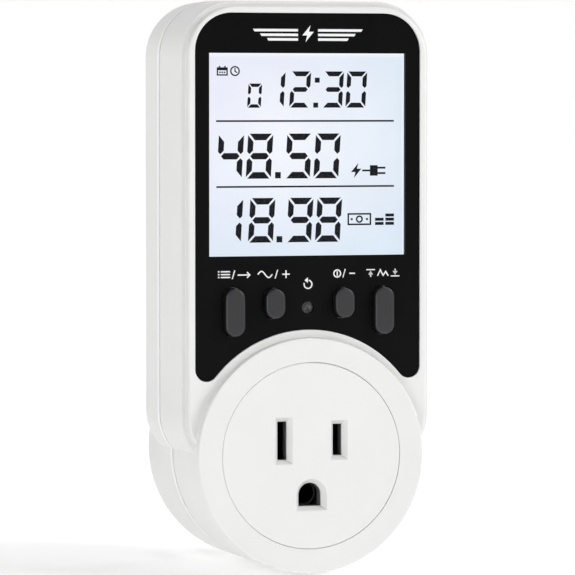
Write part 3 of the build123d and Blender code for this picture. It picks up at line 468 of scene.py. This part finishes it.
def ring(x, z, r, width, count=40):
    return circle(x, z, r, count), circle(x, z, r - width, count)


def bar(x_low, x_high, z_low, z_high):
    return [(x_low, z_low), (x_high, z_low), (x_high, z_high), (x_low, z_high)]


def box_ring(x_low, x_high, z_low, z_high, width):
    inner = bar(x_low + width, x_high - width, z_low + width, z_high - width)
    return bar(x_low, x_high, z_low, z_high), inner


def stroke(points, width):
    """Outline of a line of even width, mitred at its bends."""
    left, right = [], []
    for i, (x, z) in enumerate(points):
        before = points[max(i - 1, 0)]
        after = points[min(i + 1, len(points) - 1)]
        ahead = Vector((after[0] - x, after[1] - z))
        first = Vector((x - before[0], z - before[1])) if i else ahead.copy()
        last = ahead if i < len(points) - 1 else first
        first.normalize()
        last.normalize()
        middle = (first + last).normalized()
        normal = Vector((-middle.y, middle.x))
        reach = width / 2 / max(abs(normal.dot(Vector((-first.y, first.x)))), 0.5)
        left.append((x + normal.x * reach, z + normal.y * reach))
        right.append((x - normal.x * reach, z - normal.y * reach))
    return left + right[::-1]


def slash(x, z_low=38.75, z_high=40.65, width=0.24):
    """Leaning stroke between the two pictograms over a key."""
    half = width / 2
    lean = (z_high - z_low) * 0.3
    top = x + lean
    return [(x - half, z_low), (x + half, z_low), (top + half, z_high), (top - half, z_high)]


def arrow_right(x_low, x_high, z, width, head):
    return [stroke([(x_low, z), (x_high - width, z)], width),
            stroke([(x_high - head, z + head), (x_high, z), (x_high - head, z - head)], width)]


def bolt(x, z, height):
    """Lightning bolt about its middle."""
    shape = ((0.16, 0.5), (-0.36, -0.10), (-0.05, -0.10), (-0.16, -0.5), (0.36, 0.12), (0.05, 0.12))
    return [(x + a * height, z + b * height) for a, b in shape]


# ================================================================ display digits
SEGMENTS = {
    "0": "abcdef", "1": "bc", "2": "abged", "3": "abgcd", "4": "fgbc", "5": "afgcd",
    "6": "afgedc", "7": "abc", "8": "abcdefg", "9": "abcdfg",
}
SLANT = 0.061
DRAWN_THICK = 1.44          # thickness that the corner offsets below are drawn for


def digit(value, x, z, width, height, thick):
    """Seven-segment digit; x is its left edge at the foot, before the slant."""
    k = thick / DRAWN_THICK
    side = 1.3 * k
    mid = height / 2
    half = 0.7 * k
    left_top = [(0, height - 0.32 * k), (side, height - 1.79 * k), (side, mid + 1.22 * k),
                (0.54 * k, mid + 0.43 * k), (0, mid + 0.97 * k)]
    cross = [(0.75 * k, mid), (1.37 * k, mid + half), (width - 1.37 * k, mid + half),
             (width - 0.75 * k, mid), (width - 1.37 * k, mid - half), (1.37 * k, mid - half)]
    top = [(0.33 * k, height), (width - 0.33 * k, height),
           (width - 1.6 * k, height - thick), (1.6 * k, height - thick)]
    shapes = {
        "a": top,
        "b": [(width - u, v) for u, v in left_top],
        "c": [(width - u, height - v) for u, v in left_top],
        "d": [(u, height - v) for u, v in top],
        "e": [(u, height - v) for u, v in left_top],
        "f": left_top,
        "g": cross,
    }
    return [[(x + u + SLANT * v, z + v) for u, v in shapes[s]] for s in SEGMENTS[value]]


def make_digits():
    """Day count and time in the top row, energy in the middle row, cost in the low row."""
    # for each number: (value, left edge) of its digits, foot Z, digit width, height, thickness
    numbers = (
        ((("0", -13.6),), 75.98, 3.13, 5.27, 0.75),
        ((("1", -9.85), ("2", -3.98), ("3", 3.6), ("0", 8.98)), 76.0, 4.6, 7.92, 1.08),
        ((("4", -20.6), ("8", -13.93), ("5", -4.98), ("0", 1.6)), 60.54, 5.74, 9.81, 1.44),
        ((("1", -20.77), ("8", -13.43), ("9", -4.66), ("8", 1.97)), 46.6, 5.71, 9.72, 1.42),
    )
    loops = []
    for digits, z, width, height, thick in numbers:
        for value, x in digits:
            loops += digit(value, x, z, width, height, thick)
    # the time's colon and two decimal points
    loops += [bar(x, x + 1.12, z, z + 1.1) for x, z in ((1.93, 81.45), (1.57, 76.0))]
    loops += [bar(-7.2, -5.9, 60.58, 61.96), bar(-6.88, -5.55, 46.6, 47.96)]
    return slab_mesh("display_digits", DISPLAY_FACE, loops)


def make_display_rules():
    """Thin lines between the three rows."""
    loops = [bar(-20.65, 20.25, 72.9, 73.28), bar(-20.6, 20.3, 58.58, 58.96)]
    return slab_mesh("display_rules", DISPLAY_FACE, loops)


def make_display_icons():
    """Calendar and clock beside the time, bolt and plug for energy, note and coins for cost."""
    # calendar and clock
    rings = [box_ring(-20.5, -18.0, 82.95, 84.75, 0.3), ring(-16.35, 83.95, 1.1, 0.3)]
    loops = [bar(-20.21, -18.29, 84.1, 84.46)]
    loops += [bar(x, x + 0.35, 84.76, 85.05) for x in (-20.05, -18.8)]
    loops += [bar(x, x + 0.34, 83.5, 83.84) for x in (-19.95, -19.42, -18.89)]
    loops.append(stroke([(-16.35, 84.62), (-16.35, 83.9), (-15.85, 83.6)], 0.26))
    # bolt, then the plug's cord, body and two prongs
    loops += [bolt(11.5, 62.2, 3.3), bar(12.9, 14.69, 62.0, 62.4), bar(14.7, 16.5, 61.05, 63.35)]
    loops += [bar(16.51, 18.3, z, z + 0.42) for z in (61.4, 62.58)]
    # note and two stacks of coins
    rings.append(box_ring(9.5, 15.0, 50.2, 52.85, 0.36))
    rings.append(ring(12.25, 51.52, 0.82, 0.36))
    loops += [bar(x, x + 0.45, 51.3, 51.75) for x in (10.25, 13.8)]
    coin, step = 0.66, 0.92
    for x, count in ((15.9, 2), (18.3, 3)):
        feet = [50.2 + step * level for level in range(count)]
        loops += [bar(x, x + 2.0, z, z + coin) for z in feet]
    return slab_mesh("display_icons", DISPLAY_FACE, loops, rings)


def make_key_marks():
    """Pictograms over the keys, from the left."""
    width = 0.28
    middle = 39.68
    # list and arrow
    loops = [slash(-17.35)]
    for z in (39.0, 39.62, 40.24):
        loops += [bar(-20.6, -20.25, z, z + width), bar(-19.95, -17.85, z, z + width)]
    loops += arrow_right(-16.1, -13.35, 39.62, width, 0.62)
    # wave and plus
    start, length, swing, steps = -11.5, 3.3, 0.68, 24
    turns = [i / steps for i in range(steps + 1)]
    wave = [(start + length * t, middle + swing * sin(2 * pi * t)) for t in turns]
    loops += [stroke(wave, width), slash(-7.55)]
    loops.append(bar(-5.9, -4.2, middle - width / 2, middle + width / 2))
    loops += [bar(-5.19, -4.91, 38.83, 39.54), bar(-5.19, -4.91, 39.82, 40.53)]
    # turn-back arrow
    loops.append(stroke(circle(0.0, 37.4, 0.9, 30, -200.0, 80.0), width))
    loops.append([(-0.02, 37.68), (-0.02, 38.92), (-0.8, 38.3)])
    # coin and minus
    rings = [ring(6.75, middle, 0.92, width)]
    loops += [bar(6.62, 6.88, 39.18, 40.18), slash(8.05)]
    loops.append(bar(9.55, 10.85, middle - width / 2, middle + width / 2))
    # up to a high mark, a run of peaks, and down to a low mark
    loops += [bar(13.5, 15.5, 40.3, 40.55), bar(14.37, 14.63, 38.85, 39.85)]
    loops.append([(13.95, 39.35), (15.05, 39.35), (14.5, 40.15)])
    peaks = [(16.1, 39.05), (16.75, 40.35), (17.4, 39.15), (18.0, 40.0), (18.6, 39.05)]
    loops.append(stroke(peaks, width))
    loops += [bar(19.2, 21.2, 38.85, 39.1), bar(20.07, 20.33, 39.55, 40.55)]
    loops.append([(19.65, 40.05), (20.75, 40.05), (20.2, 39.25)])
    return slab_mesh("key_marks", PANEL_FACE, loops, rings)


def make_panel_emblem():
    """Plain bolt between two groups of three lines."""
    start, half, bevel = 2.3, 0.28, 0.35
    loops = [bolt(0.0, 92.1, 3.7)]
    for side in (-1, 1):
        for z, reach in ((92.85, 12.6), (91.85, 11.0), (90.85, 9.4)):
            low, high = z - half, z + half
            line = [(start, low), (reach - bevel, low), (reach, high), (start, high)]
            loops.append([(side * across, up) for across, up in line])
    return slab_mesh("panel_emblem", PANEL_FACE, loops)


def make_marks(materials):
    """Display marks take the dark display finish and panel marks the white ink; all ride on the
    housing.
    """
    groups = (
        ("lcd_glass", "display_dark", (make_digits, make_display_rules, make_display_icons)),
        ("panel_black", "ink_white", (make_key_marks, make_panel_emblem)),
    )
    for slot, finish, makers in groups:
        for make in makers:
            piece = make()
            piece.data.materials.append(materials[finish])
            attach(piece, "housing")


# ================================================================ stage and light
def make_stage():
    """Pale floor that curves up into a backdrop."""
    low = cad_box[0][2] - 0.0004
    front, bend_from, bend, height, half_width = -4.0, 1.6, 1.2, 3.0, 5.0
    steps = 16
    profile = [(front, 0.0), (bend_from, 0.0)]
    for i in range(1, steps + 1):
        angle = radians(90.0 * i / steps)
        profile.append((bend_from + bend * sin(angle), bend - bend * cos(angle)))
    profile.append((bend_from + bend, height))
    bm = bmesh.new()
    rows = [[bm.verts.new((x, y, z + low)) for y, z in profile] for x in (-half_width, half_width)]
    for i in range(len(profile) - 1):
        bm.faces.new((rows[0][i], rows[1][i], rows[1][i + 1], rows[0][i + 1]))
    mesh = bpy.data.meshes.new("floor")
    bm.to_mesh(mesh)
    bm.free()
    for face in mesh.polygons:
        face.use_smooth = True
    floor = bpy.data.objects.new("floor", mesh)
    bpy.context.scene.collection.objects.link(floor)
    m = Nodes("floor_pale")
    tone = m.noise(6.0, 3.0)
    pale = m.colour_mix(tone, (0.86, 0.86, 0.86, 1.0), (0.9, 0.9, 0.9, 1.0))
    _, y, _ = m.split()
    glow = m.span(y, *GLOW_RAMP, FLOOR_GLOW, BACKDROP_GLOW)
    m.set(Base_Color=pale, Roughness=0.8)
    m.set(Emission_Color=(1.0, 1.0, 1.0, 1.0), Emission_Strength=glow)
    mesh.materials.append(m.material)


def area_light(name, place, size, power):
    """Rectangular light aimed at the middle of the meter's front."""
    middle = Vector((0.0, -0.03, 0.035))
    data = bpy.data.lights.new(name, "AREA")
    data.shape = "RECTANGLE"
    data.size, data.size_y = size
    data.energy = power
    light = bpy.data.objects.new(name, data)
    bpy.context.scene.collection.objects.link(light)
    aim = middle - Vector(place)
    light.rotation_euler = aim.to_track_quat("-Z", "Y").to_euler()
    light.location = place


def make_light():
    """Even white surroundings, a soft main light from the upper right and four fills."""
    world = bpy.data.worlds.new("studio")
    world.use_nodes = True
    back = world.node_tree.nodes["Background"]
    back.inputs["Color"].default_value = (1.0, 1.0, 1.0, 1.0)
    back.inputs["Strength"].default_value = AMBIENT
    bpy.context.scene.world = world
    area_light("softbox", (0.80, -0.60, 0.50), (0.4, 0.4), 5.0)
    area_light("near", (-0.30, -0.30, 0.06), (0.15, 0.3), 0.56)
    area_light("left", (-0.90, -0.25, 0.15), (0.1, 0.7), 0.4)
    area_light("top", (0.30, -0.06, 0.74), (0.5, 0.1), 1.4)
    area_light("right", (0.75, 0.18, 0.12), (0.09, 0.6), 1.6)
    view = bpy.context.scene.view_settings
    view.view_transform = "Standard"
    view.look = "None"


make_camera()
finishes = make_materials()
dress_cad(finishes)
make_marks(finishes)
make_stage()
make_light()
